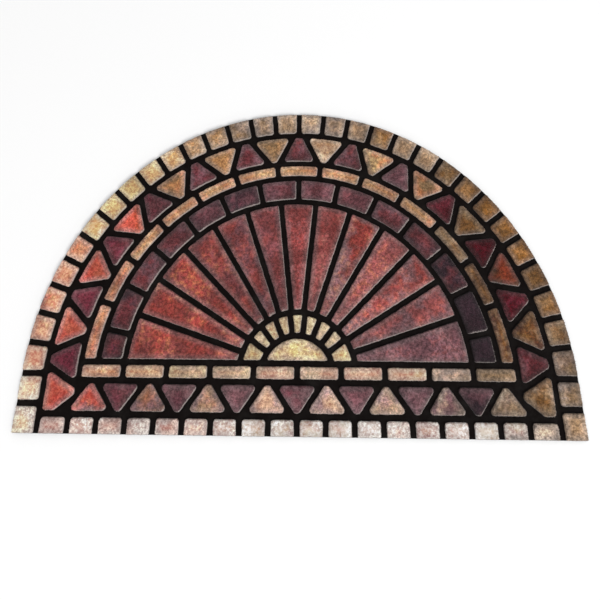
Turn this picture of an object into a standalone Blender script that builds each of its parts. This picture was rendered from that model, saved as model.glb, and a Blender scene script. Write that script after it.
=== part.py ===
"""Half-round doormat, moulded in one piece: a rubber slab with a mosaic of raised flocked pads.

The pads lie in courses. A low sun sits in the middle of the straight side, with a ring of short
tiles and a fan of long rays around it. A course of plum bricks, a course of narrow gold bricks, a
zigzag of triangles and a rim of squares follow the arch. Narrow bricks, triangles and squares
run along the straight side in the same way. Plain rubber shows in the grooves between the pads.
"""

import math
from collections import namedtuple

import bmesh
import bpy
from mathutils import Vector

# Driving dimensions, in metres
WIDTH = 0.762
DEPTH = 0.4572
BASE_THICKNESS = 0.0045
PAD_HEIGHT = 0.0035
GROOVE = 0.0070
ZIGZAG_GROOVE = 0.0075
DRAFT = 0.0009

# Rounds at the corners of the pads
TRIANGLE_CORNER = 0.0048
TILE_CORNER = 0.0044
BRICK_CORNER = 0.0035
RAY_CORNER = 0.0025

# Groove circles of the arch, as radii about the courses' centre. The mat's round edge is struck
# from a point a little higher, so the rim is deepest at the top.
RIM_LIFT = 0.0036
SUN_EDGE = 0.0507
SUN_RING_EDGE = 0.0815
RAY_EDGE = 0.2400
PLUM_EDGE = 0.2772
GOLD_EDGE = 0.3006
ZIGZAG_EDGE = 0.3475

# Straight grooves, as heights above the courses' centre
FAN_BASE = 0.0152
GOLD_BASE = -0.0080
ZIGZAG_BASE = -0.0488
RIM_SPRING = 0.0
CORNER_TILE_TOP = -0.0366

# Courses of the arch, split by straight grooves that run through a pivot on the centre line. The
# rays and both courses of bricks share one fan, in which the bricks break joint.
FAN_PIVOT = 0.0055
FAN_PITCH_DEG = 13.2
Course = namedtuple("Course", "inner outer pivot pitch_deg dividers on_fan_base corner")
ARCH_COURSES = (
    Course(SUN_EDGE, SUN_RING_EDGE, 0.0, 15.8, 8, True, RAY_CORNER),
    Course(SUN_RING_EDGE, RAY_EDGE, FAN_PIVOT, FAN_PITCH_DEG, 12, True, RAY_CORNER),
    Course(RAY_EDGE, PLUM_EDGE, FAN_PIVOT, FAN_PITCH_DEG, 13, True, BRICK_CORNER),
    Course(PLUM_EDGE, GOLD_EDGE, FAN_PIVOT, FAN_PITCH_DEG, 12, True, BRICK_CORNER),
    Course(ZIGZAG_EDGE, WIDTH / 2, RIM_SPRING, 6.0, 31, False, TILE_CORNER),
)

# Zigzag of the arch: every second triangle points outwards, counted from the one on the centre line
ZIGZAG_PITCH_DEG = 7.24
ZIGZAG_LAST = 13
SIDE_AT_INNER_DEG = 6.10
SIDE_AT_OUTER_DEG = 1.31

# Courses of the straight side
FRONT_TRIANGLE_PITCH = 0.0402
FRONT_TRIANGLE_BASE = 0.0566
FRONT_TRIANGLE_TIP = 0.0071
FRONT_TRIANGLE_LAST = 7
FRONT_BRICK_PITCH = 0.0600
FRONT_BRICKS_A_SIDE = 5
FRONT_SQUARE_PITCH = 0.03835
FRONT_SQUARES_A_SIDE = 9

# Working values
HALF_GROOVE = GROOVE / 2
RADIUS = WIDTH / 2
FRONT_EDGE = RIM_LIFT + RADIUS - DEPTH
COURSE_CENTRE_Y = DEPTH / 2 - RADIUS - RIM_LIFT
THICKNESS = BASE_THICKNESS + PAD_HEIGHT
OVERRUN = 0.008
BLOCK_MARGIN = 0.012
CUT_LAP = 0.001
OUTLINE_STEP_DEG = 2.0
PAD_ARC_STEP = 0.021
CORNER_STEPS = 3
CORNER_SHARE = 0.48
FLAT_DEG = 0.1
TOP_FACING = 0.5
WELD = 0.00001

Line = namedtuple("Line", "point direction")


def at(radius, angle_deg):
    """The point at this radius about the courses' centre, at this angle from straight up, clockwise."""
    angle = math.radians(angle_deg)
    return Vector((radius * math.sin(angle), radius * math.cos(angle)))


def moved_right(line, distance):
    """The line moved sideways, to the right of its direction."""
    right = Vector((line.direction.y, -line.direction.x))
    return Line(line.point + right * distance, line.direction)


def on_circle(line, radius):
    """Where the line, followed forwards, leaves the circle of this radius about the courses' centre."""
    along = line.point.dot(line.direction)
    run = math.sqrt(along**2 - line.point.length_squared + radius**2) - along
    return line.point + line.direction * run


def at_height(line, y):
    """Where the line crosses this height."""
    return line.point + line.direction * ((y - line.point.y) / line.direction.y)


def at_side(line, x):
    """Where the line crosses this distance from the centre line."""
    return line.point + line.direction * ((x - line.point.x) / line.direction.x)


def arc(start, end):
    """Points strictly between two points on one circle about the courses' centre, along that circle."""
    turn = start.angle_signed(end)
    steps = max(1, math.ceil(abs(turn) * start.length / PAD_ARC_STEP))
    begin = math.degrees(math.atan2(start.x, start.y))
    return [at(start.length, begin + math.degrees(turn) * n / steps) for n in range(1, steps)]


def rounded(outline, corners, radius):
    """The outline with each point that is listed as a corner replaced by a round."""
    points = []
    for n, point in enumerate(outline):
        if point not in corners:
            points.append(point)
            continue
        before = outline[n - 1] - point
        after = outline[(n + 1) % len(outline)] - point
        half_angle = before.angle(after) / 2
        longest = CORNER_SHARE * min(before.length, after.length)
        reach = min(radius / math.tan(half_angle), longest)
        inwards = (before.normalized() + after.normalized()).normalized()
        centre = point + inwards * (reach / math.cos(half_angle))
        first = point + before.normalized() * reach - centre
        last = point + after.normalized() * reach - centre
        turns = [first.slerp(last, step / CORNER_STEPS) for step in range(CORNER_STEPS + 1)]
        points += [centre + turn.normalized() * first.length for turn in turns]
    return points


def band_pad(inner, outer, left, right, corner):
    """A pad between two circles about the courses' centre and two straight sides."""
    corners = [on_circle(left, inner), on_circle(left, outer)]
    corners += [on_circle(right, outer), on_circle(right, inner)]
    outline = [corners[0], corners[1], *arc(corners[1], corners[2]), corners[2]]
    outline += [corners[3], *arc(corners[3], corners[0])]
    return rounded(outline, corners, corner)


def box_pad(left, right, bottom, top, corner):
    """A rectangular pad."""
    corners = [Vector(place) for place in ((left, bottom), (left, top), (right, top), (right, bottom))]
    return rounded(corners, corners, corner)


def sun_pad():
    """The low sun: the part of a disc that stands above the fan's base."""
    floor = FAN_BASE + HALF_GROOVE
    left = on_circle(Line(Vector((0.0, floor)), Vector((-1.0, 0.0))), SUN_EDGE - HALF_GROOVE)
    right = Vector((-left.x, floor))
    return rounded([left, *arc(left, right), right], [left, right], RAY_CORNER)


def arch_pads(course):
    """The pads of one course of the arch, from the left end to the right end."""
    middle = (course.dividers - 1) / 2
    pivot = Vector((0.0, course.pivot))
    grooves = [Line(pivot, at(1.0, course.pitch_deg * (n - middle))) for n in range(course.dividers)]
    if course.on_fan_base:
        base = Vector((0.0, FAN_BASE))
        grooves = [Line(base, Vector((-1.0, 0.0))), *grooves, Line(base, Vector((1.0, 0.0)))]
    inner = course.inner + HALF_GROOVE
    outer = course.outer + OVERRUN if course.outer == RADIUS else course.outer - HALF_GROOVE
    pads = []
    for left, right in zip(grooves, grooves[1:]):
        left, right = moved_right(left, HALF_GROOVE), moved_right(right, -HALF_GROOVE)
        pads.append(band_pad(inner, outer, left, right, course.corner))
    return pads


def zigzag_groove(number):
    """The slanted groove to the right of a triangle of the arch."""
    points_out = number % 2 == 0
    place = number if points_out else number + 1
    side = 1 if points_out else -1
    low = at(GOLD_EDGE, place * ZIGZAG_PITCH_DEG + side * SIDE_AT_INNER_DEG)
    high = at(ZIGZAG_EDGE, place * ZIGZAG_PITCH_DEG + side * SIDE_AT_OUTER_DEG)
    return Line(low, (high - low).normalized())


def zigzag_pads():
    """The triangles of the arch, and at each end one whose foot is cut by the course below."""
    inner = GOLD_EDGE + HALF_GROOVE
    outer = ZIGZAG_EDGE - HALF_GROOVE
    foot = ZIGZAG_BASE + HALF_GROOVE
    pads = []
    for number in range(1 - ZIGZAG_LAST, ZIGZAG_LAST):
        left = moved_right(zigzag_groove(number - 1), ZIGZAG_GROOVE / 2)
        right = moved_right(zigzag_groove(number), -ZIGZAG_GROOVE / 2)
        pads.append(band_pad(inner, outer, left, right, TRIANGLE_CORNER))
    above = moved_right(zigzag_groove(ZIGZAG_LAST - 1), ZIGZAG_GROOVE / 2)
    below = moved_right(zigzag_groove(ZIGZAG_LAST), -ZIGZAG_GROOVE / 2)
    end = [on_circle(above, inner), at_side(above, outer), Vector((outer, foot))]
    end += [at_height(below, foot), on_circle(below, inner)]
    pads.append(rounded(end, end, TRIANGLE_CORNER))
    mirrored = [Vector((-corner.x, corner.y)) for corner in reversed(end)]
    pads.append(rounded(mirrored, mirrored, TRIANGLE_CORNER))
    return pads


def front_triangle_pads():
    """The row of triangles along the straight side, of which the middle one points down."""
    bottom = ZIGZAG_BASE + HALF_GROOVE
    top = GOLD_BASE - HALF_GROOVE
    pads = []
    for number in range(-FRONT_TRIANGLE_LAST, FRONT_TRIANGLE_LAST + 1):
        low, high = FRONT_TRIANGLE_TIP / 2, FRONT_TRIANGLE_BASE / 2
        if number % 2:
            low, high = high, low
        x = number * FRONT_TRIANGLE_PITCH
        corners = [Vector((x - low, bottom)), Vector((x - high, top))]
        corners += [Vector((x + high, top)), Vector((x + low, bottom))]
        pads.append(rounded(corners, corners, TRIANGLE_CORNER))
    return pads


def row_pads(half_length, pitch, count_a_side, bottom, top, corner):
    """A row of rectangular pads along the straight side, equal but for the one at each end."""
    inner = [n * pitch for n in range(1 - count_a_side, count_a_side)]
    grooves = [-half_length, *inner, half_length]
    return [
        box_pad(left + HALF_GROOVE, right - HALF_GROOVE, bottom, top, corner)
        for left, right in zip(grooves, grooves[1:])
    ]


def side_pads():
    """The two lowest tiles of the rim on each side."""
    inner = ZIGZAG_EDGE + HALF_GROOVE
    outer = RADIUS + OVERRUN
    upper = (CORNER_TILE_TOP + HALF_GROOVE, RIM_SPRING - HALF_GROOVE, TILE_CORNER)
    lower = (FRONT_EDGE - OVERRUN, CORNER_TILE_TOP - HALF_GROOVE, TILE_CORNER)
    pads = []
    for left, right in ((-outer, -inner), (inner, outer)):
        pads += [box_pad(left, right, *upper), box_pad(left, right, *lower)]
    return pads


def all_pads():
    """The outlines of all the pads at the floor of the grooves. Those of the rim overrun the slab."""
    pads = [sun_pad()]
    for course in ARCH_COURSES:
        pads += arch_pads(course)
    pads += zigzag_pads()
    pads += side_pads()
    bricks = (GOLD_BASE + HALF_GROOVE, FAN_BASE - HALF_GROOVE, BRICK_CORNER)
    pads += row_pads(GOLD_EDGE, FRONT_BRICK_PITCH, FRONT_BRICKS_A_SIDE, *bricks)
    pads += front_triangle_pads()
    squares = (FRONT_EDGE - OVERRUN, ZIGZAG_BASE - HALF_GROOVE, TILE_CORNER)
    pads += row_pads(ZIGZAG_EDGE, FRONT_SQUARE_PITCH, FRONT_SQUARES_A_SIDE, *squares)
    return pads


def material(name, colour, roughness):
    """A plain Principled material."""
    made = bpy.data.materials.new(name)
    made.use_nodes = True
    made.diffuse_color = colour
    shader = made.node_tree.nodes["Principled BSDF"]
    shader.inputs["Base Color"].default_value = colour
    shader.inputs["Roughness"].default_value = roughness
    shader.inputs["Metallic"].default_value = 0.0
    return made


def add_mesh(name, mesh, collection):
    """An object for the mesh, with its origin at the courses' centre on the ground."""
    made = bpy.data.objects.new(name, mesh)
    made.location = (0.0, COURSE_CENTRE_Y, 0.0)
    collection.objects.link(made)
    return made


def slab_mesh():
    """The half-round slab at its full thickness, from a filled flat curve."""
    lift = Vector((0.0, RIM_LIFT))
    steps = round(180 / OUTLINE_STEP_DEG)
    sweep = [lift + at(RADIUS, OUTLINE_STEP_DEG * n - 90.0) for n in range(steps + 1)]
    outline = [Vector((-RADIUS, FRONT_EDGE)), *sweep, Vector((RADIUS, FRONT_EDGE))]
    curve = bpy.data.curves.new("slab_outline", "CURVE")
    curve.dimensions = "2D"
    curve.fill_mode = "BOTH"
    curve.extrude = THICKNESS / 2
    spline = curve.splines.new("POLY")
    spline.points.add(len(outline) - 1)
    for point, place in zip(spline.points, outline):
        point.co = (place.x, place.y, 0.0, 1.0)
    spline.use_cyclic_u = True
    drawn = bpy.data.objects.new("slab_outline", curve)
    bpy.context.scene.collection.objects.link(drawn)
    bpy.context.view_layer.update()
    mesh = bpy.data.meshes.new_from_object(drawn.evaluated_get(bpy.context.evaluated_depsgraph_get()))
    bpy.data.objects.remove(drawn)
    body = bmesh.new()
    body.from_mesh(mesh)
    bmesh.ops.remove_doubles(body, verts=body.verts, dist=WELD)
    bmesh.ops.translate(body, verts=body.verts, vec=(0.0, 0.0, THICKNESS / 2))
    bmesh.ops.dissolve_limit(body, angle_limit=math.radians(FLAT_DEG), verts=body.verts, edges=body.edges)
    bmesh.ops.recalc_face_normals(body, faces=body.faces)
    body.to_mesh(mesh)
    body.free()
    return mesh


def pads_mesh():
    """All the pads as closed blocks that taper upwards, from below the grooves' floor to above the top."""
    body = bmesh.new()
    low = BASE_THICKNESS - CUT_LAP
    rise = PAD_HEIGHT + 2 * CUT_LAP
    for outline in all_pads():
        body.faces.new([body.verts.new((place.x, place.y, low)) for place in outline])
    bmesh.ops.recalc_face_normals(body, faces=body.faces)
    bmesh.ops.reverse_faces(body, faces=[face for face in body.faces if face.normal.z < 0])
    undersides = list(body.faces)
    copies = bmesh.ops.duplicate(body, geom=undersides)["geom"]
    tops = [item for item in copies if isinstance(item, bmesh.types.BMFace)]
    lean = DRAFT * rise / PAD_HEIGHT
    bmesh.ops.inset_individual(body, faces=tops, thickness=lean, depth=rise, use_even_offset=True)
    bmesh.ops.reverse_faces(body, faces=undersides)
    bmesh.ops.remove_doubles(body, verts=body.verts, dist=WELD)
    mesh = bpy.data.meshes.new("pads")
    body.to_mesh(mesh)
    body.free()
    return mesh


def block_mesh():
    """A plain block from the grooves' floor up, wider than the slab, out of which the pads are kept."""
    body = bmesh.new()
    bmesh.ops.create_cube(body, size=1.0)
    size = (WIDTH + 2 * BLOCK_MARGIN, DEPTH + 2 * BLOCK_MARGIN, PAD_HEIGHT + CUT_LAP / 2)
    bmesh.ops.scale(body, verts=body.verts, vec=size)
    centre = (0.0, FRONT_EDGE + DEPTH / 2, BASE_THICKNESS + size[2] / 2)
    bmesh.ops.translate(body, verts=body.verts, vec=centre)
    mesh = bpy.data.meshes.new("grooves")
    body.to_mesh(mesh)
    body.free()
    return mesh


def cut(target, cutter):
    """Takes the cutter out of the target, and gives the cut faces the cutter's material."""
    modifier = target.modifiers.new(f"cut_{cutter.name}", "BOOLEAN")
    modifier.operation = "DIFFERENCE"
    modifier.solver = "EXACT"
    modifier.object = cutter
    modifier.material_mode = "TRANSFER"
    cutter.hide_render = True
    cutter.display_type = "WIRE"


def build():
    for old in list(bpy.data.objects):
        bpy.data.objects.remove(old, do_unlink=True)
    parts = bpy.data.collections.new("doormat")
    cutters = bpy.data.collections.new("cutters")
    bpy.context.scene.collection.children.link(parts)
    bpy.context.scene.collection.children.link(cutters)

    flock = material("printed_flock", (0.26, 0.11, 0.085, 1.0), 0.95)
    rubber = material("black_rubber", (0.012, 0.013, 0.014, 1.0), 0.75)
    pads = add_mesh("pads", pads_mesh(), cutters)
    grooves = add_mesh("grooves", block_mesh(), cutters)
    mat = add_mesh("mat", slab_mesh(), parts)
    grooves.data.materials.append(rubber)
    pads.data.materials.append(rubber)
    mat.data.materials.append(flock)
    mat.data.materials.append(rubber)
    for face in mat.data.polygons:
        face.material_index = 0 if face.normal.z > TOP_FACING else 1
    cut(grooves, pads)
    cut(mat, grooves)


build()
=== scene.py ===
# %% [markdown]
# # A half-round doormat
#
# The real thing is one moulding of black rubber. Its raised pads carry a felt of short fibres, which
# is printed from above with a sunburst of plum, brick, gold and cream. This lesson starts from the
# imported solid, which gives the size and the place, and works out every pad again as a smooth surface.
# Colours, felt and rubber follow.

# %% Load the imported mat
import math
from collections import namedtuple

import bpy
import numpy as np
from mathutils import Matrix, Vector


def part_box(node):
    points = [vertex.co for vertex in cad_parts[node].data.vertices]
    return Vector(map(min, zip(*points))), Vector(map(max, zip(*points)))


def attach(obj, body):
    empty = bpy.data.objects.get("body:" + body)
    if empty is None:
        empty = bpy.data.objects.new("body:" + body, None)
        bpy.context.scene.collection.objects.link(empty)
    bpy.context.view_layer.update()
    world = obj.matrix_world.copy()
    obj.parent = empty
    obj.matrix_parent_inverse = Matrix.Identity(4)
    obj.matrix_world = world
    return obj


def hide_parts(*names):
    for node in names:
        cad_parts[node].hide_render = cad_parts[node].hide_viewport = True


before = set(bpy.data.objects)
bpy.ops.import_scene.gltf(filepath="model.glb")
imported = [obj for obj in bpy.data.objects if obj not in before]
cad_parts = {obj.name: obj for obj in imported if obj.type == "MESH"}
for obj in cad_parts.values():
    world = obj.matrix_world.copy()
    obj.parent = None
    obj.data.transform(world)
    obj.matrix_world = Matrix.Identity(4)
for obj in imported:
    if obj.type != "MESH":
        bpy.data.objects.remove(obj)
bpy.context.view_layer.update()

low, high = (np.array(corner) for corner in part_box("mat"))
WIDTH, DEPTH, THICKNESS = high - low
print(f"packed mat: {WIDTH * 1000:.1f} x {DEPTH * 1000:.1f} x {THICKNESS * 1000:.1f} mm")

# %% [markdown]
# ## The layout
#
# A mould for such a mat is cut with grooves, and the pads are what is left between them. So the
# layout is a short list of grooves: circles about one centre, straight grooves that fan out from a
# point on the centre line, and straight grooves along the front. All of it is in metres, with the
# courses' centre as the zero point.

# %% Grooves and pads, in metres
RADIUS = WIDTH / 2
RIM_LIFT = 0.0036
PAD_HEIGHT = 0.0035
GROOVE_FLOOR = THICKNESS - PAD_HEIGHT
GROOVE = 0.0070
ZIGZAG_GROOVE = 0.0075
EDGE_SETBACK = 0.0004

TRIANGLE_CORNER = 0.0048
TILE_CORNER = 0.0044
BRICK_CORNER = 0.0035
RAY_CORNER = 0.0025
MAT_CORNER = 0.0022
EDGE_CORNER = 0.0018

SUN_EDGE = 0.0507
SUN_RING_EDGE = 0.0815
RAY_EDGE = 0.2400
PLUM_EDGE = 0.2772
GOLD_EDGE = 0.3006
ZIGZAG_EDGE = 0.3475

FAN_BASE = 0.0152
GOLD_BASE = -0.0080
ZIGZAG_BASE = -0.0488
RIM_SPRING = 0.0
CORNER_TILE_TOP = -0.0366
FRONT_EDGE = RIM_LIFT + RADIUS - DEPTH
CENTRE_Y = low[1] - FRONT_EDGE

ZIGZAG_PITCH_DEG = 7.24
ZIGZAG_LAST = 13
SIDE_AT_INNER_DEG = 6.10
SIDE_AT_OUTER_DEG = 1.31
FRONT_TRIANGLE_PITCH = 0.0402
FRONT_TRIANGLE_BASE = 0.0566
FRONT_TRIANGLE_TIP = 0.0071
FRONT_TRIANGLE_LAST = 7
FRONT_BRICK_PITCH = 0.0600
FRONT_BRICKS_A_SIDE = 5
FRONT_SQUARE_PITCH = 0.03835
FRONT_SQUARES_A_SIDE = 9

FAN_PIVOT = 0.0055
FAN_PITCH_DEG = 13.2
Course = namedtuple("Course", "inner outer pivot pitch_deg dividers on_fan_base corner")
SUN_RING = Course(SUN_EDGE, SUN_RING_EDGE, 0.0, 15.8, 8, True, RAY_CORNER)
RAYS = Course(SUN_RING_EDGE, RAY_EDGE, FAN_PIVOT, FAN_PITCH_DEG, 12, True, RAY_CORNER)
PLUM = Course(RAY_EDGE, PLUM_EDGE, FAN_PIVOT, FAN_PITCH_DEG, 13, True, BRICK_CORNER)
GOLD = Course(PLUM_EDGE, GOLD_EDGE, FAN_PIVOT, FAN_PITCH_DEG, 12, True, BRICK_CORNER)
RIM = Course(ZIGZAG_EDGE, RADIUS, RIM_SPRING, 6.0, 31, False, TILE_CORNER)
print(f"the courses' centre is {CENTRE_Y * 1000:.1f} mm from the middle of the box")

# %% [markdown]
# ## Outlines from cores
#
# Every pad has rounded corners: wide ones on triangles and tiles, tight ones on rays and wherever a
# pad meets the edge of the mat. So a pad is kept as the centres and radii of its corner rounds. Its
# core is a path a little inside the outline, with an outward normal at every point. Any ring of the
# pad, low on the flank or high on the shoulder, is core + distance * normal, which is an exact
# offset all round.

# %% Lines, circles and cores
Side = namedtuple("Side", "centre_y bend")
Rounds = namedtuple("Rounds", "centres radii sides")
STRAIGHT = Side(0.0, 0)
INNER_ARC = Side(0.0, -1)
OUTER_ARC = Side(0.0, 1)
RIM_ARC = Side(RIM_LIFT, 1)
CORE_INSET = 0.0016
SIDE_STEP = 0.0045
CORNER_STEPS = 5


def heading(degrees):
    """Unit directions, clockwise from straight up: (sin, cos) of the angle."""
    angle = np.radians(degrees)
    return np.stack([np.sin(angle), np.cos(angle)], -1)


def beside(point, direction, distance):
    """Points moved to the right of their line's direction: point + distance * (dy, -dx)."""
    return point + distance * np.stack([direction[..., 1], -direction[..., 0]], -1)


def on_circle(point, direction, radius, centre_y=0.0):
    """Where lines leave a circle: the larger root t of |point + t * direction - centre| = radius."""
    arm = point - np.array((0.0, centre_y))
    along = (arm * direction).sum(-1)
    run = np.sqrt(along**2 - (arm**2).sum(-1) + radius**2) - along
    return point + direction * run[..., None]


def at_height(point, direction, y):
    """Where lines cross a height: point + direction * (y - py) / dy."""
    return point + direction * ((y - point[..., 1]) / direction[..., 1])[..., None]


def at_side(point, direction, x):
    """Where lines cross a distance from the centre line: point + direction * (x - px) / dx."""
    return point + direction * ((x - point[..., 0]) / direction[..., 0])[..., None]


def side_path(start, end, reaches, side, steps):
    """Core points and normals along one side of many pads, from one corner round to the next.

    start and end are centres of rounds, and the side passes them at the two reaches. A straight side
    is then start + reach * normal to end + reach * normal, where the normal is turned from the
    quarter turn of end - start by the angle whose sine is (reach 1 - reach 2) / |end - start|. A
    round side has the radius |start - centre| + bend * reach, and its normal is the radius, outwards
    (bend 1) or inwards (bend -1).
    """
    share = np.linspace(0.0, 1.0, steps + 1)[:, None]
    first, last = (reach[:, None] for reach in reaches)
    if side.bend == 0:
        length = np.linalg.norm(end - start, axis=-1, keepdims=True)
        along = (end - start) / length
        sine = (first - last) / length
        square = np.stack([along[:, 1], -along[:, 0]], -1)
        normal = np.sqrt(1.0 - sine**2) * square + sine * along
        begin, finish = (start + first * normal)[:, None], (end + last * normal)[:, None]
        return begin + share * (finish - begin), np.repeat(normal[:, None], steps + 1, 1)
    centre = np.array((0.0, side.centre_y))
    first_angle, last_angle = (np.arctan2(*(place - centre).T) for place in (start, end))
    turn = (last_angle - first_angle + math.pi) % (2 * math.pi) - math.pi
    angle = first_angle[:, None] + share[:, 0] * turn[:, None]
    radial = np.stack([np.sin(angle), np.cos(angle)], -1)
    radius = np.linalg.norm(start - centre, axis=-1, keepdims=True) + side.bend * first
    return centre + radius[..., None] * radial, side.bend * radial


def core_path(rounds):
    """Core points and normals round many pads at once, anticlockwise from above.

    After each side the path turns about the next corner's centre, at that corner's reach, while the
    normal goes evenly from that side's to the following one's.
    """
    centres, sides = rounds.centres, rounds.sides
    reach = rounds.radii - CORE_INSET
    paths = []
    for n, side in enumerate(sides):
        following = (n + 1) % len(sides)
        start, end = centres[:, n], centres[:, following]
        steps = max(1, math.ceil(np.linalg.norm(end - start, axis=-1).max() / SIDE_STEP))
        paths.append(side_path(start, end, (reach[:, n], reach[:, following]), side, steps))
    core, normal = [], []
    share = np.arange(1, CORNER_STEPS) / CORNER_STEPS
    for n, (points, normals) in enumerate(paths):
        following = (n + 1) % len(paths)
        ways = normals[:, -1], paths[following][1][:, 0]
        first, last = (np.arctan2(way[:, 1], way[:, 0]) for way in ways)
        angle = first[:, None] + share * ((last - first) % (2 * math.pi))[:, None]
        turned = np.stack([np.cos(angle), np.sin(angle)], -1)
        core += [points, centres[:, following, None] + reach[:, following, None, None] * turned]
        normal += [normals, turned]
    return np.concatenate(core, 1), np.concatenate(normal, 1)


print(f"a core point every {SIDE_STEP * 1000:.1f} mm, and {CORNER_STEPS} steps round a corner")

# %% [markdown]
# ## The pads, course by course
#
# Pads of one course have the same number of corners, so one set of arrays holds them all. The
# functions below only say where the centres of the corner rounds are. The rays and both courses of
# bricks share one fan of straight grooves, from a point just above the centre of the circles, and
# the bricks break joint in it.

# %% Rounds of the arch
HALF_GROOVE = GROOVE / 2
FAN_SIDES = (INNER_ARC, STRAIGHT, OUTER_ARC, STRAIGHT)
RIM_SIDES = (INNER_ARC, STRAIGHT, RIM_ARC, STRAIGHT)
BOX_SIDES = (STRAIGHT,) * 4


def rounds_of(corners, radii, sides):
    """Corner centres as (pads, corners, 2), with a radius for every corner."""
    centres = np.stack(corners, 1)
    return Rounds(centres, np.broadcast_to(radii, centres.shape[:2]), sides)


def arch_rounds(course):
    """Where a course's two circles and the grooves' sides hold the rounds, from left to right."""
    number = np.arange(course.dividers) - (course.dividers - 1) / 2
    way = heading(course.pitch_deg * number)
    start = np.zeros_like(way) + (0.0, course.pivot)
    if course.on_fan_base:
        way = np.concatenate([[(-1.0, 0.0)], way, [(1.0, 0.0)]])
        base = [(0.0, FAN_BASE)]
        start = np.concatenate([base, start, base])
    inner, outer = course.inner + HALF_GROOVE + course.corner, course.outer - HALF_GROOVE - course.corner
    outer_corner, lift, sides = course.corner, 0.0, FAN_SIDES
    if course.outer == RADIUS:
        outer, outer_corner = RADIUS - EDGE_SETBACK - EDGE_CORNER, EDGE_CORNER
        lift, sides = RIM_LIFT, RIM_SIDES

    def left(corner):
        return beside(start[:-1], way[:-1], HALF_GROOVE + corner), way[:-1]

    def right(corner):
        return beside(start[1:], way[1:], -HALF_GROOVE - corner), way[1:]

    corners = [on_circle(*left(course.corner), inner), on_circle(*right(course.corner), inner)]
    corners += [on_circle(*side(outer_corner), outer, lift) for side in (right, left)]
    radii = (course.corner, course.corner, outer_corner, outer_corner)
    return rounds_of(corners, radii, sides)


print(f"{RAYS.dividers + 1} rays")

# %% [markdown]
# The zigzag's triangles have blunt tips, so they are four-sided for the arithmetic. The slanted groove
# between two of them is a line from circle to circle, and every pad lies half a groove beside it.

# %% Rounds of the zigzag and the sun
ZIGZAG_INNER = GOLD_EDGE + HALF_GROOVE + TRIANGLE_CORNER
ZIGZAG_OUTER = ZIGZAG_EDGE - HALF_GROOVE - TRIANGLE_CORNER


def zigzag_groove(number):
    """The slanted groove on the right of each triangle: even ones point outwards, odd ones inwards.

    It is a side of the nearest even triangle, at its place in degrees: the line from GOLD_EDGE at
    place + side * SIDE_AT_INNER_DEG to ZIGZAG_EDGE at place + side * SIDE_AT_OUTER_DEG.
    """
    outwards = number % 2 == 0
    place = np.where(outwards, number, number + 1) * ZIGZAG_PITCH_DEG
    side = np.where(outwards, 1, -1)
    inner = GOLD_EDGE * heading(place + side * SIDE_AT_INNER_DEG)
    outer = ZIGZAG_EDGE * heading(place + side * SIDE_AT_OUTER_DEG)
    way = outer - inner
    return inner, way / np.linalg.norm(way, axis=-1, keepdims=True)


def zigzag_side(number, turn):
    """The line of a triangle's side, half a groove and a corner's radius into the pad."""
    start, way = zigzag_groove(number)
    return beside(start, way, turn * (ZIGZAG_GROOVE / 2 + TRIANGLE_CORNER)), way


def zigzag_rounds(number):
    """Whole triangles: where their two sides cross the circles next to the bricks and the tiles."""
    left, right = zigzag_side(number - 1, 1), zigzag_side(number, -1)
    corners = [on_circle(*left, ZIGZAG_INNER), on_circle(*right, ZIGZAG_INNER)]
    corners += [on_circle(*right, ZIGZAG_OUTER), on_circle(*left, ZIGZAG_OUTER)]
    return rounds_of(corners, TRIANGLE_CORNER, FAN_SIDES)


def zigzag_end_rounds():
    """The two end triangles, whose feet are cut level: one is worked out and one is its mirror."""
    last = np.array([ZIGZAG_LAST])
    above, below = zigzag_side(last - 1, 1), zigzag_side(last, -1)
    foot = ZIGZAG_BASE + HALF_GROOVE + TRIANGLE_CORNER
    inner = [on_circle(*above, ZIGZAG_INNER), on_circle(*below, ZIGZAG_INNER)]
    outer = [np.array([(ZIGZAG_OUTER, foot)]), at_side(*above, ZIGZAG_OUTER)]
    right = np.stack([*inner, at_height(*below, foot), *outer], 1)
    both = np.concatenate([right[:, ::-1] * (-1.0, 1.0), right])
    return rounds_of(both.transpose(1, 0, 2), TRIANGLE_CORNER, (STRAIGHT,) * 5)


def sun_rounds():
    """The sun's two corners, on its circle at the fan's base: reach = sqrt(radius**2 - height**2)."""
    height, radius = FAN_BASE + HALF_GROOVE + RAY_CORNER, SUN_EDGE - HALF_GROOVE - RAY_CORNER
    reach = math.sqrt(radius**2 - height**2)
    corners = [np.array([(-reach, height)]), np.array([(reach, height)])]
    return rounds_of(corners, RAY_CORNER, (STRAIGHT, OUTER_ARC))


numbers = np.arange(1 - ZIGZAG_LAST, ZIGZAG_LAST)
print(f"{len(numbers)} whole triangles in the zigzag")

# %% [markdown]
# The straight side has boxes and triangles only. The lowest tiles of the rim are boxes too, because
# the mat's edge runs straight down below the springing of the arch. Where a tile meets that edge its
# corners are tight.

# %% Rounds of the straight side


def box_rounds(left, right, bottom, top, radii):
    """Rectangles from their sides, each one number or an array: a centre lies a radius inside both."""
    low_left, low_right, high_right, high_left = np.transpose(np.atleast_2d(radii))
    across = (left + low_left, right - low_right, right - high_right, left + high_left)
    up = (bottom + low_left, bottom + low_right, top - high_right, top - high_left)
    places = np.broadcast_arrays(*across, *up)
    corners = [np.stack([x, y], -1) for x, y in zip(places[:4], places[4:])]
    return rounds_of(corners, radii, BOX_SIDES)


def row_rounds(half_length, pitch, count_a_side, bottom, top, low_corner, high_corner):
    """A row of boxes with a groove on the centre line, equal but for the one at each end."""
    inner = np.arange(1 - count_a_side, count_a_side) * pitch
    grooves = np.concatenate([[-half_length], inner, [half_length]])
    radii = (low_corner, low_corner, high_corner, high_corner)
    return box_rounds(grooves[:-1] + HALF_GROOVE, grooves[1:] - HALF_GROOVE, bottom, top, radii)


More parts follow.
